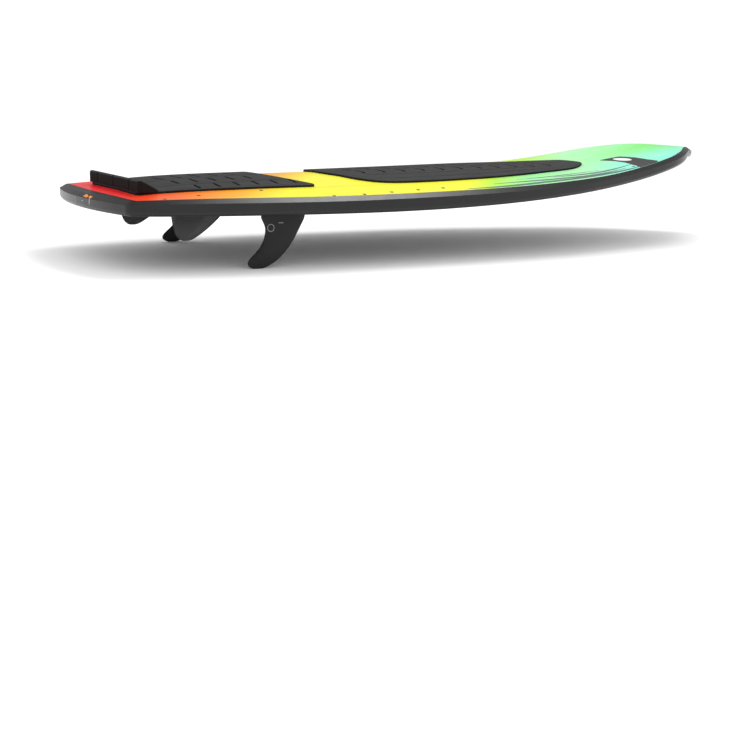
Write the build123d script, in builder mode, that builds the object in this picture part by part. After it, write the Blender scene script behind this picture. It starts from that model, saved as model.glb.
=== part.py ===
"""Wakesurf board with four removable fins and two grip pads, as separate pieces.

Frame: +X to the nose, +Y to the left (port) rail, +Z up through the deck, millimetres.
The origin lies on the centreline, midway between nose and tail, level with the lowest
points of the two big front fins.
"""

from build123d import *
import os
from math import cos, radians, sin, tan

os.makedirs("parts", exist_ok=True)

# ---------------------------------------------------------------- driving dimensions
# Board
LENGTH = 1562.0
NOSE_X = LENGTH / 2
TAIL_X = -LENGTH / 2
TAIL_RADIUS = 690.0  # of the tail's gentle curve in plan
TAIL_CORNER_RADIUS = 24.0
NOSE_RADIUS = 20.0
NOSE_TURN = 43.0  # how far the nose's round tip turns from the centreline, in degrees
INSET_STEPS = 40
SKIN = 2.0
GLUE_LINE = 0.1
STRINGER_THICKNESS = 4.0

# Rail band: the deck edge is bevelled and the bottom edge eased
RAIL_WIDTH = 13.0
DECK_BEVEL = (12.0, 6.5)  # across the deck, down the side
BOTTOM_MARGIN = 7.5  # from the rail's side to the bottom skin's edge
BOTTOM_ROUND = 7.0

# Fins: trailing edge of the base, from the origin and from the centreline
FRONT_FIN_DEPTH = 102.0
REAR_FIN_DEPTH = 54.0
FRONT_FIN_X, FRONT_FIN_Y = -498.0, 210.0
FRONT_TOE_IN, FRONT_CANT = 2.0, 1.5
REAR_FIN_X, REAR_FIN_Y = -650.0, 140.0
REAR_TOE_IN, REAR_CANT = 0.8, 1.3
ROOT_GAP = 0.3  # between the blade's root and the bottom skin
BASE_Z = FRONT_FIN_DEPTH  # height of the flat part of the bottom

# Fin tabs and boxes
TAB_THICKNESS = 6.0
TAB_HEIGHT = 15.0
TAB_CLEARANCE = 0.3
BOX_WIDTH = 24.0
BOX_HEIGHT = 20.0
BOX_TAIL_WALL = 8.0
BOX_NOSE_WALL = 24.0
BOX_CORNER = 5.0
BLOCK_MARGIN = 9.0
BLOCK_HEIGHT = 25.0

# Grub screw at the nose end of each box, leaning back onto the tab
SCREW_RADIUS = 2.5
SCREW_LENGTH = 11.0
SCREW_LEAN = 45.0
SCREW_LEAD = 12.0  # from the tab's nose end to the hole's centre on the bottom
SCREW_RECESS = 2.4
SCREW_CLEARANCE = 0.1
HEX_ACROSS_FLATS = 2.5
HEX_DEPTH = 3.0
SCREW_TIP_CHAMFER = 0.6

# Grip pads and the kick at the tail
PAD_THICKNESS = 5.0
KICK_HEIGHT = 27.0
KICK_RIDGE = 6.0
KICK_RAMP = 38.0
KICK_REAR_X = -710.0
KICK_GROOVE = 3.0
KICK_GROOVE_Y = 88.0
KICK_DECK = 31.0  # height of the deck over the flat bottom at the kick
KICK_LABELS = ["kick_right", "kick_centre", "kick_left"]

REAR_PAD_TAIL_HALF = 124.0
REAR_PAD_SHOULDER = (-594.0, 150.0)
REAR_PAD_FRONT = (-359.0, 169.0)
REAR_PAD_HOLLOW = 34.0
PAD_CORNER = 8.0

# Half outline from behind the tail corner to the nose: station and half-width.
RAIL_POINTS = [
    (-794.0, 186.0),
    (-714.0, 214.0),
    (-634.0, 234.0),
    (-474.0, 258.0),
    (-294.0, 268.0),
    (-94.0, 270.0),
    (86.0, 266.0),
    (246.0, 249.0),
    (406.0, 217.0),
    (536.0, 187.0),
    (611.0, 156.0),
    (696.0, 86.0),
]
TAIL_TANGENT = (1.0, 0.34)

# Side profile: station, bottom height over the flat, deck height on the centreline,
# and how far the crowned deck falls from the centreline to SLAB_HALF_WIDTH.
SLAB_HALF_WIDTH = 290.0
PROFILE = [
    (-820.0, 0.0, 28.5, 6.5),
    (-704.0, 0.0, 32.5, 8.0),
    (-594.0, 0.0, 42.5, 18.0),
    (-424.0, 0.0, 50.0, 24.0),
    (-254.0, 0.5, 54.0, 25.5),
    (-94.0, 4.0, 58.0, 25.5),
    (56.0, 11.0, 61.5, 24.0),
    (206.0, 21.5, 64.0, 19.0),
    (356.0, 36.0, 67.5, 10.0),
    (496.0, 56.0, 83.5, 4.0),
    (606.0, 76.5, 103.0, 5.0),
    (676.0, 87.0, 111.5, 5.0),
    (736.0, 88.0, 108.0, 4.0),
    (820.0, 72.0, 88.0, 3.0),
]

# Fin blades: depth below the bottom, trailing edge, leading edge, thickness.
FRONT_BLADE = [
    (ROOT_GAP, 0.0, 91.0, 6.8),
    (23.0, 5.5, 84.0, 6.4),
    (42.0, 5.5, 73.0, 5.9),
    (62.0, -4.0, 59.0, 5.2),
    (78.0, -20.0, 44.0, 4.5),
    (90.0, -30.0, 29.0, 3.8),
    (97.5, -27.0, 15.0, 3.2),
    (FRONT_FIN_DEPTH, -16.0, 2.0, 2.4),
]
REAR_BLADE = [
    (ROOT_GAP, 0.0, 106.0, 6.8),
    (12.0, 2.0, 99.0, 6.4),
    (26.0, 4.5, 83.0, 5.8),
    (38.0, 8.0, 67.0, 5.2),
    (47.0, 13.0, 53.0, 4.4),
    (52.0, 19.0, 43.0, 3.6),
    (REAR_FIN_DEPTH, 25.0, 35.0, 2.8),
]

# Half outlines of the two grip pads, from the tail end of the centreline to its nose end.
FRONT_PAD = [
    (-256.0, 0.0),
    (-250.0, 56.0),
    (-237.0, 124.0),
    (-206.0, 159.0),
    (-154.0, 172.0),
    (-34.0, 173.0),
    (79.0, 165.0),
    (176.0, 147.0),
    (276.0, 119.0),
    (346.0, 92.0),
    (390.0, 56.0),
    (406.0, 0.0),
]


def tail_reach(inset):
    """Everything ahead of the tail's curve, pulled in by inset."""
    with BuildSketch(Plane.XY) as reach:
        with Locations((TAIL_X + TAIL_RADIUS, 0)):
            Circle(TAIL_RADIUS - inset)
        with Locations((TAIL_X + TAIL_RADIUS + LENGTH / 2, 0)):
            Rectangle(LENGTH, 2 * (TAIL_RADIUS - inset))
    return reach.sketch


def outline(inset=0.0):
    """Plan outline of the board on the ground plane, pulled in by inset."""
    turn = radians(NOSE_TURN)
    nose_start = (NOSE_X - NOSE_RADIUS * (1 - cos(turn)), NOSE_RADIUS * sin(turn))
    edge = Spline(*RAIL_POINTS, nose_start, tangents=[TAIL_TANGENT, (sin(turn), -cos(turn))])
    steps = [i / INSET_STEPS for i in range(INSET_STEPS + 1)]
    inward = [(edge % t).rotate(Axis.Z, -90) * inset for t in steps]
    points = [edge @ t + shift for t, shift in zip(steps, inward)]
    with BuildSketch(Plane.XY) as plan:
        with BuildLine():
            rail = Spline(*points, tangents=[edge % 0, edge % 1])
            mirror(rail, about=Plane.XZ)
            Line(rail @ 0, ((rail @ 0).X, -(rail @ 0).Y))
            ThreePointArc(rail @ 1, (NOSE_X - inset, 0), ((rail @ 1).X, -(rail @ 1).Y))
        make_face()
        add(tail_reach(inset), mode=Mode.INTERSECT)
        fillet(plan.vertices().group_by(Axis.X)[0], radius=TAIL_CORNER_RADIUS - inset)
    return plan.sketch


def column(sketch):
    """Tall block over a plan outline."""
    with BuildPart() as block:
        add(sketch)
        extrude(amount=BASE_Z + 200)
    return block.part


def slab(lift=0.0, drop=0.0):
    """Wide block from the bottom surface raised by lift to the deck lowered by drop."""
    with BuildPart() as block:
        for x, bottom, deck, fall in PROFILE:
            low = BASE_Z + bottom + lift
            high = BASE_Z + deck - drop
            left = (-SLAB_HALF_WIDTH, high - fall)
            right = (SLAB_HALF_WIDTH, high - fall)
            with BuildSketch(Plane.YZ.offset(x)):
                with BuildLine():
                    Polyline(left, (left[0], low), (right[0], low), right)
                    ThreePointArc(left, (0, high), right)
                make_face()
        loft()
    return block.part


def mirrored(half):
    """Closed plan outline of a pad from its half outline, which starts and ends at y = 0."""
    with BuildSketch(Plane.XY) as plan:
        with BuildLine():
            side = Spline(*half, tangents=[(0.0, 1.0), (0.0, -1.0)])
            mirror(side, about=Plane.XZ)
        make_face()
    return plan.sketch


def rear_pad_plan():
    """Plan outline of the tail pad: square at the tail, hollowed at its nose edge."""
    with BuildSketch(Plane.XY) as plan:
        with BuildLine():
            rear = Line((KICK_REAR_X, 0), (KICK_REAR_X, REAR_PAD_TAIL_HALF))
            side = Spline(
                rear @ 1, REAR_PAD_SHOULDER, REAR_PAD_FRONT, tangents=[(1.0, 0.3), (1.0, 0.05)]
            )
            hollow_x = REAR_PAD_FRONT[0] - REAR_PAD_HOLLOW
            front = ThreePointArc(
                side @ 1,
                (hollow_x + REAR_PAD_HOLLOW / 4, REAR_PAD_FRONT[1] / 2),
                (hollow_x, 0),
            )
            mirror(rear, about=Plane.XZ)
            mirror(side, about=Plane.XZ)
            mirror(front, about=Plane.XZ)
        make_face()
        fillet(plan.vertices().group_by(Axis.X)[-1], radius=PAD_CORNER)
        fillet(plan.vertices().group_by(Axis.X)[0], radius=PAD_CORNER)
    return plan.sketch


def deck_layer(plan, low, high):
    """Layer over a plan outline, from low to high above the deck's surface."""
    with BuildPart() as layer:
        add(column(plan))
        add(slab(drop=-high), mode=Mode.INTERSECT)
        add(slab(drop=-low), mode=Mode.SUBTRACT)
    return layer.part


def fin_plane(x, y, side, toe_in):
    """Plane on the bottom at a fin's trailing edge: x along the chord, z down."""
    toe = radians(toe_in)
    return Plane(
        origin=(x, side * y, BASE_Z),
        x_dir=(cos(toe), -side * sin(toe), 0),
        z_dir=(0, 0, -1),
    )


def fin(plane, blade, cant, side):
    """One fin: a foiled blade lofted from its root to its tip, and the tab above it."""
    chord = blade[0][2] - blade[0][1]
    with BuildPart() as piece:
        for depth, trailing, leading, thickness in blade:
            lean = -side * depth * tan(radians(cant))
            with BuildSketch(plane.offset(depth)):
                with Locations(((trailing + leading) / 2, lean)):
                    Ellipse((leading - trailing) / 2, thickness / 2)
        loft()
        with BuildSketch(plane.offset(ROOT_GAP)):
            with Locations((chord / 2, 0)):
                RectangleRounded(tab_length(chord), TAB_THICKNESS, TAB_THICKNESS / 2 - 0.1)
        extrude(amount=-(TAB_HEIGHT + ROOT_GAP))
    return piece.part


def tab_length(chord):
    """Length of the tab under a fin of that root chord."""
    return chord - 12.0


def box_frame(chord):
    """Where a fin box starts and ends along the chord of its fin."""
    start = (chord - tab_length(chord)) / 2 - BOX_TAIL_WALL
    end = (chord + tab_length(chord)) / 2 + BOX_NOSE_WALL
    return start, end


def box_shape(plane, chord, grow, depth, height):
    """Rounded block around a fin box, grown by grow, from depth under the bottom up."""
    start, end = box_frame(chord)
    with BuildPart() as shape:
        with BuildSketch(plane.offset(depth)):
            with Locations(((start + end) / 2, 0)):
                RectangleRounded(end - start + 2 * grow, BOX_WIDTH + 2 * grow, BOX_CORNER + grow)
        extrude(amount=-(height + depth))
    return shape.part


def screw_plane(plane, chord):
    """Plane across a grub screw's mouth on the bottom, z out of the hole."""
    lean = radians(SCREW_LEAN)
    mouth = plane.from_local_coords((chord + tab_length(chord)) / 2 * Vector(1, 0, 0))
    mouth = mouth + plane.x_dir * SCREW_LEAD
    return Plane(
        origin=mouth,
        x_dir=plane.y_dir,
        z_dir=plane.x_dir * sin(lean) + plane.z_dir * cos(lean),
    )


def fin_box(plane, chord):
    """Fin box with its slot for the tab and the leaning hole for the grub screw."""
    with BuildPart() as box:
        add(box_shape(plane, chord, 0, 0, BOX_HEIGHT))
        with BuildSketch(plane):
            with Locations((chord / 2, 0)):
                RectangleRounded(
                    tab_length(chord) + 2 * TAB_CLEARANCE,
                    TAB_THICKNESS + 2 * TAB_CLEARANCE,
                    TAB_THICKNESS / 2,
                )
        extrude(amount=-(TAB_HEIGHT + 2 * TAB_CLEARANCE), mode=Mode.SUBTRACT)
        with BuildSketch(screw_plane(plane, chord).offset(SCREW_RADIUS * 2)):
            Circle(SCREW_RADIUS + SCREW_CLEARANCE)
        hole = SCREW_RADIUS * 2 + SCREW_LEAD / sin(radians(SCREW_LEAN))
        extrude(amount=-hole, mode=Mode.SUBTRACT)
    return box.part


def grub_screw(plane, chord):
    """Grub screw with a hexagon socket, lying under the surface and short of the tab."""
    mouth = screw_plane(plane, chord).offset(-SCREW_RECESS)
    with BuildPart() as screw:
        with BuildSketch(mouth):
            Circle(SCREW_RADIUS)
        extrude(amount=-SCREW_LENGTH)
        chamfer(screw.edges().group_by(Axis.Z)[-1], length=SCREW_TIP_CHAMFER)
        with BuildSketch(mouth):
            RegularPolygon(HEX_ACROSS_FLATS / 2, 6, major_radius=False)
        extrude(amount=-HEX_DEPTH, mode=Mode.SUBTRACT)
    return screw.part


def on_the_rail(edge):
    """True for the long edges that run round the rail from tail to nose."""
    return edge.length > LENGTH / 2 and edge.center().Y > RAIL_WIDTH


def save(part, label):
    """Label a finished piece and write it."""
    part.label = label
    export_step(part, f"parts/{label}.step")


# ---------------------------------------------------------------- fins, boxes, screws
FIN_SETS = {
    "front": (FRONT_FIN_X, FRONT_FIN_Y, FRONT_TOE_IN, FRONT_CANT, FRONT_BLADE),
    "rear": (REAR_FIN_X, REAR_FIN_Y, REAR_TOE_IN, REAR_CANT, REAR_BLADE),
}
SIDES = {"left": 1, "right": -1}

box_holes = []
block_holes = []
screws = []
for set_name, (x, y, toe_in, cant, blade) in FIN_SETS.items():
    chord = blade[0][2]
    for side_name, side in SIDES.items():
        plane = fin_plane(x, y, side, toe_in)
        place = f"{set_name}_{side_name}"

        save(fin(plane, blade, cant, side), f"fin_{place}")
        save(fin_box(plane, chord), f"fin_box_{place}")
        screws.append(grub_screw(plane, chord))
        box_holes.append(box_shape(plane, chord, GLUE_LINE, 1, BOX_HEIGHT + GLUE_LINE))
        block_holes.append(box_shape(plane, chord, BLOCK_MARGIN, 1, BLOCK_HEIGHT))

        with BuildPart() as fin_block:
            add(box_shape(plane, chord, BLOCK_MARGIN - GLUE_LINE, 1, BLOCK_HEIGHT - GLUE_LINE))
            add(slab(lift=SKIN + GLUE_LINE), mode=Mode.INTERSECT)
            add(box_holes[-1], mode=Mode.SUBTRACT)
        save(fin_block.part, f"fin_block_{place}")

save(Compound(children=screws), "fin_screws")

# ---------------------------------------------------------------- hull
hull_slab = slab()
core_slab = slab(lift=SKIN + GLUE_LINE, drop=SKIN + GLUE_LINE)
core_plan = outline(RAIL_WIDTH + GLUE_LINE)

with BuildPart() as deck_skin:
    add(column(core_plan))
    add(hull_slab, mode=Mode.INTERSECT)
    add(slab(drop=SKIN), mode=Mode.SUBTRACT)
save(deck_skin.part, "deck_skin")

with BuildPart() as bottom_skin:
    add(column(outline(BOTTOM_MARGIN)))
    add(hull_slab, mode=Mode.INTERSECT)
    add(slab(lift=SKIN), mode=Mode.SUBTRACT)
    add(box_holes, mode=Mode.SUBTRACT)
save(bottom_skin.part, "bottom_skin")

# Room left in the rails for the edge of the bottom skin
with BuildPart() as skin_rebate:
    add(column(outline(BOTTOM_MARGIN - GLUE_LINE)))
    add(slab(lift=SKIN + GLUE_LINE), mode=Mode.SUBTRACT)

with BuildPart() as rail_left:
    add(column(outline()))
    add(hull_slab, mode=Mode.INTERSECT)
    split(bisect_by=Plane.XZ.offset(-GLUE_LINE / 2), keep=Keep.BOTTOM)
    across, down = DECK_BEVEL
    chamfer(rail_left.edges().filter_by(on_the_rail).sort_by(Axis.Z)[-1], across, down)
    fillet(rail_left.edges().filter_by(on_the_rail).sort_by(Axis.Z)[0], radius=BOTTOM_ROUND)
    add(column(outline(RAIL_WIDTH)), mode=Mode.SUBTRACT)
    add(skin_rebate.part, mode=Mode.SUBTRACT)
save(rail_left.part, "rail_left")

with BuildPart() as rail_right:
    mirror(rail_left.part, about=Plane.XZ)
save(rail_right.part, "rail_right")

stringer_space = STRINGER_THICKNESS / 2 + GLUE_LINE
with BuildPart() as core:
    add(column(core_plan))
    add(core_slab, mode=Mode.INTERSECT)
    add(block_holes, mode=Mode.SUBTRACT)

with BuildPart() as core_left:
    add(core.part)
    split(bisect_by=Plane.XZ.offset(-stringer_space), keep=Keep.BOTTOM)
save(core_left.part, "foam_core_left")

with BuildPart() as core_right:
    add(core.part)
    split(bisect_by=Plane.XZ.offset(stringer_space), keep=Keep.TOP)
save(core_right.part, "foam_core_right")

with BuildPart() as stringer:
    with BuildSketch(Plane.XY):
        Rectangle(LENGTH, STRINGER_THICKNESS)
    extrude(amount=BASE_Z + 200)
    add(core_slab, mode=Mode.INTERSECT)
    add(column(core_plan), mode=Mode.INTERSECT)
save(stringer.part, "stringer")

# ---------------------------------------------------------------- grip pads and kick
rear_plan = rear_pad_plan()
save(deck_layer(rear_plan, GLUE_LINE, PAD_THICKNESS), "rear_pad")
save(deck_layer(mirrored(FRONT_PAD), GLUE_LINE, PAD_THICKNESS), "front_pad")

ridge_z = BASE_Z + KICK_DECK + KICK_HEIGHT
ramp_foot = (KICK_REAR_X + KICK_RIDGE + KICK_RAMP, BASE_Z + KICK_DECK + PAD_THICKNESS)
with BuildPart() as kick:
    with BuildSketch(Plane.XZ):
        with BuildLine():
            Polyline(
                (KICK_REAR_X, ramp_foot[1] - PAD_THICKNESS),
                (KICK_REAR_X, ridge_z),
                (KICK_REAR_X + KICK_RIDGE, ridge_z),
                ramp_foot,
                (ramp_foot[0], ramp_foot[1] - PAD_THICKNESS),
                close=True,
            )
        make_face()
    extrude(amount=REAR_PAD_FRONT[1], both=True)
    add(column(rear_plan), mode=Mode.INTERSECT)
    add(slab(drop=-PAD_THICKNESS - GLUE_LINE), mode=Mode.SUBTRACT)
    with BuildSketch(Plane.XY):
        with Locations((ramp_foot[0], KICK_GROOVE_Y), (ramp_foot[0], -KICK_GROOVE_Y)):
            Rectangle(4 * KICK_RAMP, KICK_GROOVE)
    extrude(amount=BASE_Z + 200, mode=Mode.SUBTRACT)

for segment, label in zip(kick.solids().sort_by(Axis.Y), KICK_LABELS):
    save(Part(segment.wrapped), label)
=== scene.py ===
"""Looks of the wakesurf board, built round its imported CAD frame.

The row frame is in metres: +X to the nose, +Y to the port rail, +Z up through the deck.
"""

import math

import bmesh
import bpy
from mathutils import Matrix, Vector
from mathutils.bvhtree import BVHTree
from mathutils.geometry import delaunay_2d_cdt


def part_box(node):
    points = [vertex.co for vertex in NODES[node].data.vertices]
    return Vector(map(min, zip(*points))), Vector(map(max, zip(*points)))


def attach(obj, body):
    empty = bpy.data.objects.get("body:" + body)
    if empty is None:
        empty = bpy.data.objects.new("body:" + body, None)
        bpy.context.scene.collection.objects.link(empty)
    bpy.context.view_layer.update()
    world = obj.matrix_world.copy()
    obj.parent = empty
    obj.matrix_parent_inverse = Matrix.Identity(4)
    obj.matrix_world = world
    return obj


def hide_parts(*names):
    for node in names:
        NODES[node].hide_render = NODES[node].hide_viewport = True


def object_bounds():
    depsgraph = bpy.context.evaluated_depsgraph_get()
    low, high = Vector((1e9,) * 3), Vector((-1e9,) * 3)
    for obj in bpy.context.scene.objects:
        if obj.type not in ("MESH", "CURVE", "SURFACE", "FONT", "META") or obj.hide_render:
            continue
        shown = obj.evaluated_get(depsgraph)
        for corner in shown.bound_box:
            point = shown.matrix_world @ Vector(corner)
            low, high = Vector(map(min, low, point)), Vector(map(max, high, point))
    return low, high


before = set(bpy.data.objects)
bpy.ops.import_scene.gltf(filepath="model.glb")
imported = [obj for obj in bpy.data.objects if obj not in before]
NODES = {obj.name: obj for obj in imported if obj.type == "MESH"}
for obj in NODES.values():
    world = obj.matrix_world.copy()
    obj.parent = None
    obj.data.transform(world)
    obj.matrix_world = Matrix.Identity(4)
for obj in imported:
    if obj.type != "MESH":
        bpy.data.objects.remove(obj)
cad_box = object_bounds()
SIDES = {"left": 1, "right": -1}

# ---------------------------------------------------------------- camera, in metres and degrees
CAMERA_PLACE = (-1.5096, -2.2991, 0.3394)
CAMERA_HEADING = 31.22  # from +Y towards +X
CAMERA_TILT = 13.12  # below the horizon
CAMERA_ROLL = 1.535
CAMERA_LENS = 59.73  # mm, on a 36 mm sensor

FLOOR_REACH = 60.0
FLOOR_GAP = 0.0002
FLOOR_BOUNCE = (0.16, 0.16, 0.16)  # what the floor's light on the underside is worth
BOTTOM_BOUNCE = (0.42, 0.42, 0.42)  # and what the underside's is worth on the floor
SKY = 1.12
SKY_IN_GLOSS = 0.36  # the studio is dimmer where it shows in glossy surfaces

# ---------------------------------------------------------------- grip foam
RIM_WIDTH = 0.0016
RIM_DROP = 0.0012
PILLOW = 0.0005
FOAM_GRID = 0.006
SLOT_HALF = 0.0027
SLOT_DEPTH = 0.0038
GROOVE_HALF = 0.0010
GROOVE_DEPTH = 0.0013
CUT_WALL = 0.0004  # how far a cut's wall leans in
CUT_CLEAR = 0.0012  # round a cut, kept free of grid points
PAD_THICKNESS = 0.0049
REAR_GROOVES = (-0.58, 0.0, 0.58)  # shares of the pad's half-width
REAR_OUTER_SLOTS = (0.085, 0.0398, 6)  # first one ahead of the kick, pitch, count
REAR_INNER_SLOTS = (0.072, 0.0380, 5)
FRONT_GROOVES = (-0.80, -0.52, 0.0, 0.52, 0.80)
FRONT_SLOTS = (0.072, 0.049, 11)  # first one ahead of the pad's rear end, pitch, count

KICK_RIDGE = 0.0075
KICK_BEVEL = (0.0022, 0.0030)  # across the ridge, down the rear face
KICK_EDGE = 0.0006
KICK_LIP = 0.0010
KICK_SWELL = 0.0006
KICK_END = 0.0012
KICK_GROOVE = 0.0024
KICK_RAMP_STEPS = 5
KICK_STATIONS = 8  # along each block

PRINT_LIFT = 0.00012  # of a printed mark over the surface it lies on
PRINT_DEPTH = 0.0003
PRINT_GRID = 0.012
SHEET_AWAY = 1.0  # from a sheet's plane to the board

SOFTBOX_PLACE = (0.75, 0.45, 2.4)
SOFTBOX_AIM = (-0.5, -0.2, 0.1)
SOFTBOX_SIZE = (1.5, 0.7)
SOFTBOX_POWER = 26.0


# ================================================================ materials
class Finish:
    """A Principled material, with short calls for the nodes that feed it."""

    def __init__(self, name, **sockets):
        self.material = bpy.data.materials.new(name)
        self.material.use_nodes = True
        self.tree = self.material.node_tree
        self.shader = self.tree.nodes["Principled BSDF"]
        self.place = self.node("ShaderNodeTexCoord").outputs["Object"]
        split = self.node("ShaderNodeSeparateXYZ", Vector=self.place)
        self.x, self.y, self.z = split.outputs
        for name, value in sockets.items():
            self.shader.inputs[name.replace("_", " ")].default_value = value

    def node(self, kind, settings=None, **inputs):
        """A new node with those settings, its inputs fed by values or by other nodes."""
        made = self.tree.nodes.new(kind)
        for key, value in (settings or {}).items():
            setattr(made, key, value)
        for key, value in inputs.items():
            self.feed(made.inputs[key], value)
        return made

    def feed(self, socket, value):
        if isinstance(value, bpy.types.NodeSocket):
            self.tree.links.new(value, socket)
        else:
            socket.default_value = value

    def math(self, operation, first, second=0.0, third=0.0, clamp=False):
        made = self.tree.nodes.new("ShaderNodeMath")
        made.operation = operation
        made.use_clamp = clamp
        for socket, value in zip(made.inputs, (first, second, third)):
            self.feed(socket, value)
        return made.outputs[0]

    def noise(self, scale, stretch=(1, 1, 1), detail=3.0, roughness=0.5):
        """Noise over the object, drawn out along the axes where stretch is small."""
        mapped = self.node("ShaderNodeMapping", Vector=self.place, Scale=stretch)
        made = self.node(
            "ShaderNodeTexNoise",
            Vector=mapped.outputs[0],
            Scale=scale,
            Detail=detail,
            Roughness=roughness,
        )
        return made.outputs["Fac"]

    def band(self, value, low, high):
        """0 below low, 1 above high, smooth between them."""
        made = self.node("ShaderNodeMapRange", {"interpolation_type": "SMOOTHSTEP"}, Value=value)
        made.inputs["From Min"].default_value = low
        made.inputs["From Max"].default_value = high
        return made.outputs[0]

    def ramp(self, value, low, high, stops):
        """Colours along value from low to high; stops hold a value and a colour each."""
        span = self.node("ShaderNodeMapRange", Value=value)
        span.inputs["From Min"].default_value = low
        span.inputs["From Max"].default_value = high
        made = self.node("ShaderNodeValToRGB", Fac=span.outputs[0])
        elements = made.color_ramp.elements
        while len(elements) < len(stops):
            elements.new(0.5)
        for element, (at, colour) in zip(elements, stops):
            element.position = (at - low) / (high - low)
            element.color = (*colour, 1)
        return made.outputs[0]

    def mix(self, share, first, second, blend="MIX"):
        made = self.node("ShaderNodeMix", {"data_type": "RGBA", "blend_type": blend})
        for socket, value in zip((made.inputs[0], made.inputs[6], made.inputs[7]), (share, first, second)):
            self.feed(socket, (*value, 1) if isinstance(value, tuple) else value)
        return made.outputs[2]

    def bump(self, height, strength, distance):
        made = self.node("ShaderNodeBump", Strength=strength, Distance=distance, Height=height)
        self.feed(self.shader.inputs["Normal"], made.outputs[0])

    def colour(self, value):
        self.feed(self.shader.inputs["Base Color"], value)

    def roughness(self, value, low, high):
        """Roughness from low to high as value goes from 0 to 1."""
        span = self.node("ShaderNodeMapRange", Value=value)
        span.inputs["To Min"].default_value = low
        span.inputs["To Max"].default_value = high
        self.feed(self.shader.inputs["Roughness"], span.outputs[0])


RED = (0.92, 0.018, 0.022)
SCARLET = (0.95, 0.07, 0.02)
ORANGE = (0.93, 0.20, 0.014)
AMBER = (0.93, 0.44, 0.016)
YELLOW = (0.90, 0.86, 0.030)
LIME = (0.46, 0.84, 0.06)
LEAF = (0.20, 0.80, 0.16)
MINT = (0.32, 0.84, 0.34)
PALE = (0.40, 0.84, 0.42)
ICE = (0.26, 0.82, 0.62)
PRINT_BLACK = (0.014, 0.014, 0.015)
TEAL = (0.10, 0.17, 0.15)


def deck_print():
    """Sunset print over the deck: red tail to mint nose, its bands crossing the board askew, with a painted
    highlight in pale streaks towards the nose.
    """
    finish = Finish("deck_print", Specular_IOR_Level=0.16)
    wobble = finish.math("MULTIPLY_ADD", finish.noise(3.0, (1, 2.5, 1)), 0.09, -0.045)
    askew = finish.math("MULTIPLY_ADD", finish.y, -0.77, finish.x)
    along = finish.math("ADD", askew, wobble)
    tail = [(-0.66, RED), (-0.58, SCARLET), (-0.49, ORANGE), (-0.38, AMBER), (-0.28, YELLOW)]
    port = tail + [(0.08, YELLOW), (0.26, LIME), (0.38, PALE), (0.52, MINT), (0.66, LEAF), (0.78, LEAF)]
    starboard = tail + [(0.12, YELLOW), (0.20, LIME), (0.30, MINT), (0.44, PALE), (0.56, ICE), (0.72, ICE)]
    base = finish.mix(
        finish.band(finish.y, 0.02, -0.14),
        finish.ramp(along, -0.8, 0.9, port),
        finish.ramp(along, -0.8, 0.9, starboard),
    )
    brushed = finish.noise(9.0, (0.5, 14, 1), detail=5.0, roughness=0.6)
    # Pale streaks along the brush pattern towards the nose: a painted highlight laid over the print.
    forward = finish.band(finish.x, 0.15, 0.45)
    painted_highlight = finish.math("MULTIPLY", finish.band(brushed, 0.5, 0.75), forward)
    base = finish.mix(finish.math("MULTIPLY", painted_highlight, 0.55), base, (0.62, 0.90, 0.72))
    shade = finish.math("MULTIPLY_ADD", finish.band(brushed, 0.48, 0.28), -0.16, 1.0)
    grey = finish.node("ShaderNodeCombineColor", Red=shade, Green=shade, Blue=shade).outputs[0]
    base = finish.mix(1.0, base, grey, "MULTIPLY")
    grain = finish.noise(420.0, detail=2.0)
    bow = finish.math("MULTIPLY", finish.math("MULTIPLY", finish.y, finish.y), 0.30)
    edge = finish.math("SUBTRACT", finish.x, bow)
    finish.colour(finish.mix(finish.band(edge, -0.7455, -0.7465), base, PRINT_BLACK))
    finish.roughness(grain, 0.24, 0.36)
    finish.bump(grain, 0.05, 0.0004)
    return finish.material


def bottom_print():
    """Glossy underside: red tail, orange and pale yellow waist, mint nose, with pale brush strokes."""
    finish = Finish("bottom_print", Roughness=0.12, Coat_Weight=0.6, Coat_Roughness=0.05)
    wobble = finish.math("MULTIPLY_ADD", finish.noise(2.5, (1, 3, 1)), 0.12, -0.06)
    askew = finish.math("MULTIPLY_ADD", finish.y, 0.6, finish.x)
    along = finish.math("ADD", askew, wobble)
    stops = [
        (-0.75, (0.85, 0.012, 0.04)), (-0.42, (0.92, 0.03, 0.04)), (-0.30, ORANGE), (-0.18, AMBER),
        (-0.05, (0.97, 0.88, 0.12)), (0.22, (0.90, 0.96, 0.30)), (0.42, PALE), (0.62, ICE), (0.78, MINT),
    ]
    base = finish.ramp(along, -0.8, 0.85, stops)
    bounced = finish.node("ShaderNodeLightPath").outputs["Is Diffuse Ray"]
    strokes = finish.noise(7.0, (0.45, 18, 1), detail=6.0, roughness=0.62)
    near_middle = finish.band(finish.math("ABSOLUTE", finish.y), 0.16, 0.02)
    pale = finish.math("MULTIPLY", finish.band(strokes, 0.53, 0.62), near_middle)
    base = finish.mix(finish.math("MULTIPLY", pale, 0.7), base, (0.86, 0.95, 0.84))
    side = finish.band(finish.math("ABSOLUTE", finish.y), 0.17, 0.235)
    jagged = finish.math("MULTIPLY", finish.band(strokes, 0.46, 0.40), side)
    base = finish.mix(finish.math("MULTIPLY", jagged, 0.9), base, PRINT_BLACK)
    finish.colour(finish.mix(bounced, base, BOTTOM_BOUNCE))
    grain = finish.noise(300.0, detail=2.0)
    finish.roughness(grain, 0.08, 0.17)
    finish.bump(finish.noise(35.0, detail=2.0), 0.03, 0.001)
    return finish.material


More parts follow.
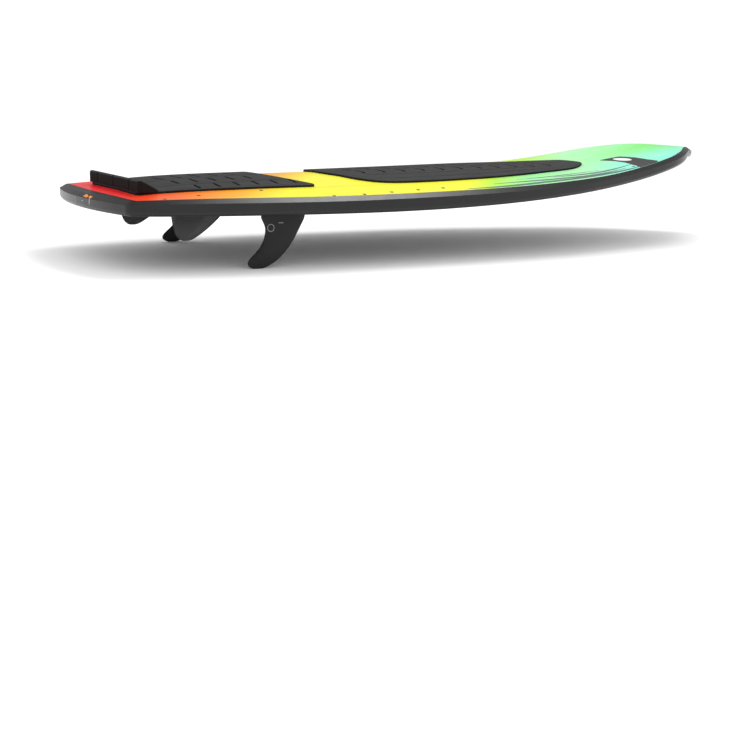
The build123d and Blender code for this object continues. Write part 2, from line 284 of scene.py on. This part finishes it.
def moulded(name, colour, low, high, grain_scale, depth, tint=0.25, **sockets):
    """Moulded or laminated plastic: one colour with faint clouding, uneven gloss, fine grain."""
    finish = Finish(name, **sockets)
    cloud = finish.noise(26.0, (1, 1, 1), detail=4.0)
    darker = tuple(channel * (1 - tint) for channel in colour)
    lighter = tuple(min(1.0, channel * (1 + tint)) for channel in colour)
    finish.colour(finish.mix(cloud, darker, lighter))
    finish.roughness(finish.noise(60.0, detail=5.0), low, high)
    finish.bump(finish.noise(grain_scale, detail=2.0), depth, 0.0004)
    return finish.material


def foam(name, colour, cell, strength, rough):
    """Cellular foam: pitted with round cells, a little uneven in tone, the pits painted darker as shade."""
    finish = Finish(name, Specular_IOR_Level=0.25)
    cells = finish.node("ShaderNodeTexVoronoi", Vector=finish.place, Scale=cell).outputs["Distance"]
    tone = finish.mix(finish.noise(18.0, detail=5.0), tuple(c * 0.82 for c in colour), colour)
    # Cell pits darkened to half the colour: painted shade in the hollows.
    painted_pit_shade = finish.math("MULTIPLY", finish.band(cells, 0.35, 0.1), 0.25)
    finish.colour(finish.mix(painted_pit_shade, tone, tuple(c * 0.5 for c in colour)))
    finish.roughness(cells, rough, rough + 0.12)
    finish.bump(cells, strength, 0.0006)
    return finish.material


def grip_foam(colour=(0.046, 0.046, 0.047)):
    """Grip foam: dull, finely brushed along the board, with scuffs and open pores, and painted shade on its
    walls that face sideways.
    """
    finish = Finish("grip_foam", Specular_IOR_Level=0.14)
    brushed = finish.noise(30.0, (0.6, 9, 1), detail=6.0, roughness=0.65)
    pores = finish.node("ShaderNodeTexVoronoi", Vector=finish.place, Scale=900.0).outputs["Distance"]
    dark = tuple(channel * 0.72 for channel in colour)
    light = tuple(channel * 1.22 for channel in colour)
    tone = finish.mix(finish.band(brushed, 0.3, 0.7), dark, light)
    # Faces turned sideways, the walls of slots, grooves and rims, are darkened near black: painted shade.
    facing = finish.node("ShaderNodeNewGeometry").outputs["Normal"]
    upright = finish.node("ShaderNodeSeparateXYZ", Vector=facing).outputs[2]
    painted_wall_shade = finish.band(upright, 0.75, 0.35)
    tone = finish.mix(finish.math("MULTIPLY", painted_wall_shade, 0.8), tone, (0.006, 0.006, 0.006))
    finish.colour(tone)
    finish.roughness(brushed, 0.72, 0.9)
    finish.bump(finish.math("MULTIPLY_ADD", brushed, 0.5, pores), 0.32, 0.0005)
    return finish.material


def fin_black():
    """Fibre-filled fin composite: near black, satin, with faint fibres down the blade."""
    finish = Finish("fin_black", Specular_IOR_Level=0.4)
    fibres = finish.noise(70.0, (4, 4, 0.5), detail=6.0, roughness=0.7)
    finish.colour(finish.mix(fibres, (0.005, 0.005, 0.005), (0.011, 0.011, 0.011)))
    finish.roughness(fibres, 0.36, 0.5)
    finish.bump(fibres, 0.10, 0.0003)
    return finish.material


def fin_smoke():
    """Smoke-tinted translucent fin plastic with faint clouding, darker towards the base as painted shade under
    the board.
    """
    finish = Finish("fin_smoke", IOR=1.49, Alpha=0.9, Specular_IOR_Level=0.35)
    cloud = finish.noise(140.0, detail=4.0)
    # Darker towards the base, next to the board's underside: painted shade.
    base = finish.band(finish.z, 0.06, 0.10)
    tone = finish.mix(base, (0.085, 0.083, 0.083), (0.030, 0.029, 0.029))
    finish.colour(finish.mix(finish.math("MULTIPLY", cloud, 0.4), tone, (0.070, 0.066, 0.066)))
    finish.roughness(cloud, 0.16, 0.3)
    finish.bump(cloud, 0.05, 0.0002)
    return finish.material


def wood():
    """Stringer plywood: pale grain running the length of the board."""
    finish = Finish("stringer_wood", Roughness=0.55)
    grain = finish.noise(14.0, (0.5, 12, 12), detail=6.0, roughness=0.6)
    finish.colour(finish.mix(finish.band(grain, 0.35, 0.65), (0.50, 0.31, 0.15), (0.70, 0.50, 0.29)))
    finish.roughness(grain, 0.5, 0.65)
    finish.bump(grain, 0.2, 0.0004)
    return finish.material


def steel():
    """Stainless grub screws with turned marks."""
    finish = Finish("screw_steel", Metallic=1.0)
    turned = finish.noise(900.0, (1, 1, 0.1), detail=2.0)
    finish.colour(finish.mix(turned, (0.42, 0.42, 0.43), (0.62, 0.62, 0.62)))
    finish.roughness(turned, 0.22, 0.4)
    finish.bump(turned, 0.1, 0.0002)
    return finish.material


def ink(name, colour, rough=0.35):
    """Printed ink: nearly even, with the grain of the screen it was printed through."""
    finish = Finish(name)
    screen = finish.noise(260.0, detail=3.0)
    finish.colour(finish.mix(screen, tuple(c * 0.86 for c in colour), colour))
    finish.roughness(screen, rough, rough + 0.1)
    finish.bump(screen, 0.05, 0.0002)
    return finish.material


MATERIALS = {
    "deck_print": deck_print(),
    "bottom_print": bottom_print(),
    "rail_black": moulded(
        "rail_black", (0.009, 0.009, 0.010), 0.24, 0.34, 240.0, 0.04, Specular_IOR_Level=0.45
    ),
    "grip_foam": grip_foam(),
    "board_foam": foam("board_foam", (0.80, 0.79, 0.75), 420.0, 0.3, 0.6),
    "dense_foam": foam("dense_foam", (0.55, 0.50, 0.36), 800.0, 0.2, 0.55),
    "stringer_wood": wood(),
    "box_plastic": moulded("box_plastic", (0.03, 0.03, 0.032), 0.4, 0.55, 700.0, 0.12),
    "fin_black": fin_black(),
    "fin_smoke": fin_smoke(),
    "screw_steel": steel(),
}
BLACK_INK = ink("print_black", (0.020, 0.020, 0.021), 0.3)
WHITE_INK = ink("print_white", (0.85, 0.85, 0.84))
GREY_INK = ink("print_grey", (0.36, 0.36, 0.37))
TEAL_INK = ink("print_teal", TEAL)
ORANGE_INK = ink("print_orange", (0.95, 0.30, 0.03))
YELLOW_INK = ink("print_yellow", (0.95, 0.80, 0.08))

for node in NODES.values():
    for slot in node.material_slots:
        slot.material = MATERIALS[slot.material.name.split(".")[0]]


# ================================================================ mesh helpers
def caster(*names):
    """A tree of the triangles of those CAD nodes, to find their surface by rays."""
    vertices, faces = [], []
    for name in names:
        mesh = NODES[name].data
        first = len(vertices)
        vertices += [v.co.copy() for v in mesh.vertices]
        faces += [[first + i for i in face.vertices] for face in mesh.polygons]
    return BVHTree.FromPolygons(vertices, faces)


def height(tree, x, y, fallback):
    """Height of the highest surface over a point of the ground plane."""
    hit = tree.ray_cast(Vector((x, y, 1.0)), Vector((0, 0, -1)))[0]
    return hit.z if hit else tree.find_nearest(Vector((x, y, fallback)))[0].z


def new_piece(name, vertices, faces, material, body="board", smooth=0.6):
    """A mesh piece that rides on a body, shaded smooth except over sharp edges."""
    mesh = bpy.data.meshes.new(name)
    mesh.from_pydata(vertices, [], faces)
    mesh.validate()
    shape = bmesh.new()
    shape.from_mesh(mesh)
    bmesh.ops.recalc_face_normals(shape, faces=shape.faces)
    for edge in shape.edges:
        edge.smooth = len(edge.link_faces) == 2 and edge.calc_face_angle(0) < smooth
    for face in shape.faces:
        face.smooth = True
    shape.to_mesh(mesh)
    shape.free()
    mesh.materials.append(material)
    piece = bpy.data.objects.new(name, mesh)
    bpy.context.scene.collection.objects.link(piece)
    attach(piece, body)
    return piece


def top_outline(name):
    """The outline of a CAD node's upper surface, as points in order round it."""
    shape = bmesh.new()
    shape.from_mesh(NODES[name].data)
    bmesh.ops.remove_doubles(shape, verts=shape.verts, dist=1e-6)
    shape.normal_update()
    upper = {face for face in shape.faces if face.normal.z > 0.7}
    ahead = {}
    for edge in shape.edges:
        if sum(face in upper for face in edge.link_faces) == 1:
            for first, second in (edge.verts, reversed(edge.verts)):
                ahead.setdefault(first, []).append(second)
    start = min(ahead, key=lambda vertex: vertex.co.x)
    loop, last = [start], None
    while True:
        following = next(v for v in ahead[loop[-1]] if v is not last)
        if following is start:
            break
        last = loop[-1]
        loop.append(following)
    points = [vertex.co.copy() for vertex in loop]
    shape.free()
    area = sum(a.x * b.y - b.x * a.y for a, b in zip(points, points[1:] + points[:1]))
    return points if area > 0 else points[::-1]


def thin_out(points, gap):
    """Leave out points that crowd the one kept before them."""
    kept = [points[0]]
    for point in points[1:]:
        if (point - kept[-1]).length > gap:
            kept.append(point)
    return kept


def inset(loop, distance):
    """A closed anticlockwise loop moved inwards."""
    moved = []
    for before, here, after in zip(loop[-1:] + loop[:-1], loop, loop[1:] + loop[:1]):
        along = ((here - before).xy.normalized() + (after - here).xy.normalized()).normalized()
        moved.append(Vector((here.x - along.y * distance, here.y + along.x * distance)))
    return moved


def ribbon(path, half, ends=5):
    """Outline of a stroke of that half-width along a path, with round ends."""
    path = [Vector(point) for point in path]
    left, right = [], []
    for i, point in enumerate(path):
        along = (path[min(i + 1, len(path) - 1)] - path[max(i - 1, 0)]).normalized()
        across = Vector((-along.y, along.x)) * half
        left.append(point + across)
        right.append(point - across)

    def cap(centre, first):
        turns = [math.pi * (i + 1) / (ends + 1) for i in range(ends)]
        return [centre + Matrix.Rotation(-turn, 2) @ (first - centre) for turn in turns]

    return left + cap(path[-1], left[-1]) + right[::-1] + cap(path[0], right[0])


def inside(point, loop):
    """True if a point lies in a closed loop."""
    found = False
    for a, b in zip(loop, loop[1:] + loop[:1]):
        if (a.y > point.y) != (b.y > point.y):
            if point.x < a.x + (point.y - a.y) * (b.x - a.x) / (b.y - a.y):
                found = not found
    return found


def grid_points(loop, step):
    """Points of a square grid over a loop's box."""
    xs = [point.x for point in loop]
    ys = [point.y for point in loop]
    columns = int((max(xs) - min(xs)) / step)
    rows = int((max(ys) - min(ys)) / step)
    for i in range(1, columns):
        for j in range(1, rows):
            yield Vector((min(xs) + i * step, min(ys) + j * step))


def half_width(loop, x):
    """Half-width of a symmetric outline at a station."""
    found = [0.0]
    for a, b in zip(loop, loop[1:] + loop[:1]):
        if (a.x > x) != (b.x > x):
            found.append(abs(a.y + (x - a.x) * (b.y - a.y) / (b.x - a.x)))
    return max(found)


def slab(cells, count, first=0):
    """Faces of a closed slab: the cells on top, the same ones count vertices on, the walls."""
    faces = [[first + i for i in cell] for cell in cells]
    faces += [[first + count + i for i in reversed(cell)] for cell in cells]
    sides = {}
    for cell in cells:
        for a, b in zip(cell, cell[1:] + cell[:1]):
            if sides.pop((b, a), None) is None:
                sides[(a, b)] = True
    return faces + [(first + b, first + a, first + count + a, first + count + b) for a, b in sides]


# ================================================================ grip pads
def foam_pad(name, node, cuts, pillow):
    """A grip pad: a bevelled rim, a crowned top and the cuts in it, over its CAD solid's shape.

    cuts holds (path, half-width, depth) strokes; pillow(x, y) says how far the top sags there.
    """
    tree = caster(node)
    outline = thin_out(top_outline(node), 0.0015)
    level = sum(point.z for point in outline) / len(outline)
    rings = [([point.xy for point in outline], RIM_DROP), (inset(outline, RIM_WIDTH), 0.0)]
    shapes = []
    for path, half, depth in cuts:
        rings.append((ribbon(path, half), 0.0))
        rings.append((ribbon(path, half - CUT_WALL), depth))
        shapes.append(ribbon(path, half + CUT_CLEAR))
    boxes = [
        (min(p.x for p in s), max(p.x for p in s), min(p.y for p in s), max(p.y for p in s))
        for s in shapes
    ]
    plan, drops, edges = [], [], []
    for ring, drop in rings:
        first = len(plan)
        plan += ring
        drops += [drop] * len(ring)
        edges += [(first + i, first + (i + 1) % len(ring)) for i in range(len(ring))]
    rim = inset(outline, RIM_WIDTH * 2)
    for point in grid_points(rim, FOAM_GRID):
        near = [
            shape
            for shape, (x0, x1, y0, y1) in zip(shapes, boxes)
            if x0 < point.x < x1 and y0 < point.y < y1
        ]
        if inside(point, rim) and not any(inside(point, shape) for shape in near):
            plan.append(point)
            drops.append(pillow(point.x, point.y))
    border = list(range(len(outline)))
    points, _, faces, origins, _, _ = delaunay_2d_cdt(plan, edges, [border], 1, 1e-7)
    top, under = [], []
    for point, origin in zip(points, origins):
        z = height(tree, point.x, point.y, level)
        drop = max((drops[i] for i in origin), default=0.0)
        top.append((point.x, point.y, z - drop))
        under.append((point.x, point.y, z - PAD_THICKNESS))
    piece = new_piece(name, top + under, slab(faces, len(top)), MATERIALS["grip_foam"])
    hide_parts(node)


def across_slots(stations, low, high, slant, bow):
    """Slots across the board from low to high, leaning by slant and bowed by bow."""
    cuts = []
    for x in stations:
        for side in (1, -1):
            path = []
            for i in range(7):
                t = i / 6
                y = low + (high - low) * t
                path.append((x - slant * t + bow * math.sin(math.pi * t), side * y))
            cuts.append((path, SLOT_HALF, SLOT_DEPTH))
    return cuts


REAR_OUTLINE = top_outline("rear_pad")
FRONT_OUTLINE = top_outline("front_pad")


def long_groove(outline, share, start, end, steps=24):
    """Groove along the board that keeps to a share of the pad's half-width."""
    path = []
    for i in range(steps + 1):
        x = start + (end - start) * i / steps
        path.append((x, share * half_width(outline, x)))
    return path, GROOVE_HALF, GROOVE_DEPTH


def pillowed(outline, shares):
    """Sag of the foam between the grooves: least in the middle of each strip."""
    marks = [-1.0] + sorted(shares) + [1.0]

    def sag(x, y):
        width = half_width(outline, x) or 1.0
        at = max(-0.999, min(0.999, y / width))
        low = max(mark for mark in marks if mark <= at)
        high = min(mark for mark in marks if mark > at)
        return PILLOW * (1 - math.sin(math.pi * (at - low) / (high - low)))

    return sag


def row(start, first, pitch, count):
    """Stations at an even pitch, the first one that far from start."""
    return [start + first + pitch * i for i in range(count)]


REAR_NOSE = min(point.x for point in REAR_OUTLINE if abs(point.y) < 0.01 and point.x > -0.6)


def build_rear_pad():
    kick_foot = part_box("kick_centre")[1].x
    cuts = [
        long_groove(REAR_OUTLINE, share, kick_foot + 0.016, REAR_NOSE - 0.012) for share in REAR_GROOVES
    ]
    cuts += across_slots(row(kick_foot, *REAR_OUTER_SLOTS), 0.104, 0.143, 0.004, 0.0)
    cuts += across_slots(row(kick_foot, *REAR_INNER_SLOTS), 0.020, 0.068, 0.003, 0.0)
    foam_pad("rear_grip_pad", "rear_pad", cuts, pillowed(REAR_OUTLINE, REAR_GROOVES))


def build_front_pad():
    low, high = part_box("front_pad")
    cuts = []
    for share in FRONT_GROOVES:
        reach = 0.055 if share else 0.03
        cuts.append(long_groove(FRONT_OUTLINE, share, low.x + reach, high.x - reach * 1.6))
    cuts += across_slots(row(low.x, *FRONT_SLOTS), 0.014, 0.062, 0.008, 0.004)
    foam_pad("front_grip_pad", "front_pad", cuts, pillowed(FRONT_OUTLINE, FRONT_GROOVES))


def height_under(tree, x, y, fallback):
    """Height of the lowest surface over a point of the ground plane."""
    hit = tree.ray_cast(Vector((x, y, 0.0)), Vector((0, 0, 1)))[0]
    return hit.z if hit else fallback


def kick_section(tree, box, y, cut):
    """The kick's section at one station across the board, from its rear foot round it."""
    low, high = box
    rear, nose, top = low.x + cut, high.x, high.z - cut
    ridge = low.x + KICK_RIDGE
    rear_foot = height_under(tree, low.x + KICK_EDGE, y, low.z)
    nose_foot = height_under(tree, nose - KICK_EDGE, y, low.z)
    section = [(rear, rear_foot), (nose, nose_foot), (nose, nose_foot + KICK_LIP)]
    for i in range(1, KICK_RAMP_STEPS):
        t = i / KICK_RAMP_STEPS
        x = nose + (ridge - nose) * t
        z = nose_foot + KICK_LIP + (top - nose_foot - KICK_LIP) * t
        section.append((x, z + KICK_SWELL * math.sin(math.pi * t)))
    section += [
        (ridge + KICK_EDGE, top - KICK_EDGE / 2),
        (ridge - KICK_EDGE, top),
        (rear + KICK_BEVEL[0] + KICK_EDGE, top),
        (rear + KICK_BEVEL[0] - KICK_EDGE / 2, top - KICK_EDGE),
        (rear + KICK_EDGE / 3, top - KICK_BEVEL[1] + KICK_EDGE),
        (rear, top - KICK_BEVEL[1] - KICK_EDGE),
    ]
    return section


def build_kick(name, node, grooves):
    """One block of the kick: a wedge with a bevelled ridge, its ends rounded, grooved behind."""
    tree, box = caster(node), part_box(node)
    near, far = box[0].y, box[1].y
    stations = [(near, KICK_END), (near + KICK_END, 0.0), (far - KICK_END, 0.0), (far, KICK_END)]
    for y in grooves:
        stations += [(y - KICK_GROOVE, 0.0), (y - KICK_GROOVE / 2, KICK_GROOVE)]
        stations += [(y + KICK_GROOVE / 2, KICK_GROOVE), (y + KICK_GROOVE, 0.0)]
    for i in range(1, KICK_STATIONS):
        y = near + (far - near) * i / KICK_STATIONS
        if all(abs(y - groove) > 2 * KICK_GROOVE for groove in grooves):
            stations.append((y, 0.0))
    vertices, faces = [], []
    for y, cut in sorted(stations):
        vertices += [(x, y, z) for x, z in kick_section(tree, box, y, cut)]
    count = len(vertices) // len(stations)
    for i in range(len(stations) - 1):
        for j in range(count):
            first, after = i * count + j, i * count + (j + 1) % count
            faces.append((first, after, after + count, first + count))
    faces += [tuple(range(count)), tuple(range(len(vertices) - count, len(vertices)))]
    piece = new_piece(name, vertices, faces, MATERIALS["grip_foam"], smooth=0.4)
    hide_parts(node)


# ================================================================ printed marks
class Sheet:
    """A plane of print laid onto a surface: x and y axes, and the way it is pressed on."""

    def __init__(self, tree, origin, x_axis, y_axis, press, lift=0.0):
        self.tree = tree
        self.origin, self.x_axis, self.y_axis = Vector(origin), Vector(x_axis), Vector(y_axis)
        self.press = Vector(press)
        self.lift = lift

    def lay(self, point, sink):
        """Where a point of the sheet comes to lie, sunk by that much into the surface."""
        start = self.origin + self.x_axis * point.x + self.y_axis * point.y
        hit = self.tree.ray_cast(start, self.press)[0]
        if hit is None:
            hit = self.tree.find_nearest(start + self.press * SHEET_AWAY)[0]
        return hit + self.press * (sink - self.lift)


def printed(name, outlines, sheet, material, body="board", step=PRINT_GRID):
    """Thin printed shapes that lie on the surface under their outlines."""
    vertices, faces = [], []
    for outline in outlines:
        plan = [Vector(point) for point in outline]
        border = list(range(len(plan)))
        edges = [(i, (i + 1) % len(plan)) for i in border]
        loop = list(plan)
        plan += [point for point in grid_points(loop, step) if inside(point, loop)]
        points, _, cells, _, _, _ = delaunay_2d_cdt(plan, edges, [border], 1, 1e-7)
        faces += slab(cells, len(points), len(vertices))
        vertices += [sheet.lay(point, -PRINT_LIFT) for point in points]
        vertices += [sheet.lay(point, PRINT_DEPTH) for point in points]
    new_piece(name, vertices, faces, material, body)


DECK_OUTLINE = top_outline("deck_skin")
DECK_SHEET = Sheet(caster("deck_skin"), (0, 0, 1), (1, 0, 0), (0, 1, 0), (0, 0, -1))
BOTTOM_SHEET = Sheet(caster("bottom_skin"), (0, 0, -1), (1, 0, 0), (0, 1, 0), (0, 0, 1))
RAISED_DECK_SHEET = Sheet(caster("deck_skin"), (0, 0, 1), (1, 0, 0), (0, 1, 0), (0, 0, -1), PRINT_LIFT)
TAIL_SLOPE = math.sqrt(0.5)
TAIL_SHEET = Sheet(
    caster("deck_skin", "rail_left", "rail_right"),
    (-0.781 - TAIL_SLOPE, 0, 0.128 + TAIL_SLOPE),
    (0, -1, 0),
    (TAIL_SLOPE, 0, TAIL_SLOPE),
    (TAIL_SLOPE, 0, -TAIL_SLOPE),
)
RAISED_BOTTOM_SHEET = Sheet(caster("bottom_skin"), (0, 0, -1), (1, 0, 0), (0, 1, 0), (0, 0, 1), PRINT_LIFT)

NOSE_FLASH = [
    (0.463, -0.036), (0.472, -0.069), (0.470, -0.114), (0.459, -0.149), (0.444, -0.196), (0.420, -0.240),
    (0.500, -0.230), (0.560, -0.205), (0.620, -0.170), (0.600, -0.158), (0.560, -0.176), (0.530, -0.186),
    (0.509, -0.190), (0.520, -0.166), (0.521, -0.132), (0.526, -0.084), (0.521, -0.038), (0.498, -0.031),
    (0.468, -0.030),
]
NOSE_OVAL = (0.496, -0.075, 0.013, 0.029)  # centre, half-length along the board, half-width across
TICKS = [
    (-0.686, -0.194), (-0.617, -0.184), (-0.486, -0.172), (-0.369, -0.245), (-0.303, -0.243), (-0.238, -0.236),
    (-0.173, -0.229), (-0.112, -0.226), (0.440, -0.168),
]
STROKES = [
    (-0.06, 0.30, 0.012, 0.0075),
    (0.02, 0.42, 0.030, 0.0060),
    (0.14, 0.47, 0.012, 0.0090),
    (0.20, 0.46, 0.046, 0.0065),
    (0.10, 0.36, 0.060, 0.0035),
]


def kept_on_deck(points):
    """The points, those off the deck's print drawn in to its edge."""
    kept = []
    for x, y in points:
        limit = half_width(DECK_OUTLINE, x) - 0.0006
        kept.append((x, max(-limit, min(limit, y))))
    return kept


def oval(centre_x, centre_y, along, across, steps=28):
    turns = [2 * math.pi * i / steps for i in range(steps)]
    return [(centre_x + along * math.cos(t), centre_y + across * math.sin(t)) for t in turns]


def rail_stroke(start, end, away, half, steps=14):
    """A brush stroke along the starboard rail, tapering to both ends."""
    upper, lower = [], []
    for i in range(steps + 1):
        t = i / steps
        x = start + (end - start) * t
        y = -(half_width(DECK_OUTLINE, x) - away) + 0.004 * math.sin(5 * t + start * 40)
        breadth = half * math.sin(math.pi * min(0.96, max(0.04, t))) ** 0.7
        upper.append((x, y + breadth))
        lower.append((x, y - breadth * 0.8))
    return kept_on_deck(upper[::-1] + lower)


def tick(x, y):
    """A short mark leaning forward."""
    return [(x, y), (x + 0.007, y - 0.002), (x + 0.004, y - 0.010), (x - 0.001, y - 0.009)]


def build_deck_marks():
    printed("nose_flash", [kept_on_deck(NOSE_FLASH)], DECK_SHEET, BLACK_INK)
    printed("nose_oval", [oval(*NOSE_OVAL)], RAISED_DECK_SHEET, WHITE_INK, step=0.02)
    printed("rail_strokes", [rail_stroke(*stroke) for stroke in STROKES], DECK_SHEET, TEAL_INK)
    printed("deck_ticks", [kept_on_deck(tick(*place)) for place in TICKS], DECK_SHEET, BLACK_INK)
    strip = [(0.028, 0.000), (0.066, -0.001), (0.066, 0.006), (0.028, 0.007)]
    lower = [(y, z - 0.008) for y, z in strip]
    printed("tail_strip_orange", [strip], TAIL_SHEET, ORANGE_INK)
    printed("tail_strip_white", [lower], TAIL_SHEET, WHITE_INK)


def build_bottom_marks():
    label = [(-0.689, -0.020), (-0.609, -0.014), (-0.609, 0.084), (-0.689, 0.078)]
    band = [(-0.689, 0.060), (-0.609, 0.066), (-0.609, 0.076), (-0.689, 0.070)]
    printed("bottom_label", [label[::-1]], BOTTOM_SHEET, WHITE_INK)
    printed("bottom_label_band", [band[::-1]], RAISED_BOTTOM_SHEET, YELLOW_INK)


def ring(x, z, radius, hole, steps=24):
    """A ring as two half outlines, so that each is a plain loop."""
    halves = []
    for start in (0.0, math.pi):
        turns = [start + math.pi * i / steps for i in range(steps + 1)]
        outer = [(x + radius * math.cos(t), z + radius * math.sin(t)) for t in turns]
        inner = [(x + hole * math.cos(t), z + hole * math.sin(t)) for t in reversed(turns)]
        halves.append(outer + inner)
    return halves


def build_fin_marks():
    """A plain ring and a short bar on the outer face of each front fin."""
    for side, out in SIDES.items():
        node = "fin_front_" + side
        low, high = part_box(node)
        sheet = Sheet(caster(node), (0, out, 0), (1, 0, 0), (0, 0, 1), (0, -out, 0))
        x, z = low.x + 0.048, high.z - 0.042
        bar = [(x + 0.016, z + 0.008), (x + 0.026, z + 0.008), (x + 0.026, z + 0.010), (x + 0.016, z + 0.010)]
        printed(node + "_ring", ring(x, z, 0.0075, 0.0058), sheet, GREY_INK, node)
        printed(node + "_bar", [bar], sheet, GREY_INK, node)


build_rear_pad()
build_front_pad()
build_kick("kick_block_middle", "kick_centre", [0.0])
build_kick("kick_block_port", "kick_left", [])
build_kick("kick_block_starboard", "kick_right", [])
build_deck_marks()
build_bottom_marks()
build_fin_marks()


# ================================================================ stage, light, camera
def build_stage():
    """Pale floor under the fins' tips, which throws little light back on the underside."""
    finish = Finish("floor_pale", Specular_IOR_Level=0.0)
    pale = finish.mix(finish.noise(2.0, detail=3.0), (0.92, 0.92, 0.92), (0.94, 0.94, 0.94))
    bounced = finish.node("ShaderNodeLightPath").outputs["Is Diffuse Ray"]
    finish.colour(finish.mix(bounced, pale, FLOOR_BOUNCE))
    finish.roughness(finish.noise(4.0), 0.75, 0.85)
    mesh = bpy.data.meshes.new("floor")
    corners = [(-1, -1), (1, -1), (1, 1), (-1, 1)]
    level = cad_box[0].z - FLOOR_GAP
    mesh.from_pydata([(x * FLOOR_REACH, y * FLOOR_REACH, level) for x, y in corners], [], [(0, 1, 2, 3)])
    mesh.materials.append(finish.material)
    floor = bpy.data.objects.new("floor", mesh)
    bpy.context.scene.collection.objects.link(floor)


def area_light(name, place, aim, size, power):
    """A soft rectangular light at place, turned to face aim."""
    data = bpy.data.lights.new(name, "AREA")
    data.shape = "RECTANGLE"
    data.size, data.size_y = size
    data.energy = power
    light = bpy.data.objects.new(name, data)
    light.location = place
    direction = Vector(aim) - Vector(place)
    light.rotation_euler = direction.to_track_quat("-Z", "Y").to_euler()
    bpy.context.scene.collection.objects.link(light)


def build_light():
    """An even pale studio, and one softbox whose reflection runs along the bevelled rail."""
    world = bpy.data.worlds.new("studio")
    world.use_nodes = True
    nodes, links = world.node_tree.nodes, world.node_tree.links
    strength = nodes.new("ShaderNodeMapRange")
    strength.inputs["To Min"].default_value = SKY
    strength.inputs["To Max"].default_value = SKY_IN_GLOSS
    links.new(nodes.new("ShaderNodeLightPath").outputs["Is Glossy Ray"], strength.inputs["Value"])
    links.new(strength.outputs[0], nodes["Background"].inputs["Strength"])
    nodes["Background"].inputs["Color"].default_value = (1, 1, 1, 1)
    bpy.context.scene.world = world
    area_light("softbox", SOFTBOX_PLACE, SOFTBOX_AIM, SOFTBOX_SIZE, SOFTBOX_POWER)


def build_camera():
    data = bpy.data.cameras.new("camera")
    data.lens = CAMERA_LENS
    data.sensor_width = 36.0
    camera = bpy.data.objects.new("camera", data)
    turn = (
        Matrix.Rotation(-math.radians(CAMERA_HEADING), 4, "Z")
        @ Matrix.Rotation(math.radians(90 - CAMERA_TILT), 4, "X")
        @ Matrix.Rotation(math.radians(CAMERA_ROLL), 4, "Z")
    )
    camera.matrix_world = Matrix.Translation(CAMERA_PLACE) @ turn
    bpy.context.scene.collection.objects.link(camera)
    bpy.context.scene.camera = camera


build_stage()
build_light()
build_camera()
bpy.context.scene.view_settings.view_transform = "Standard"
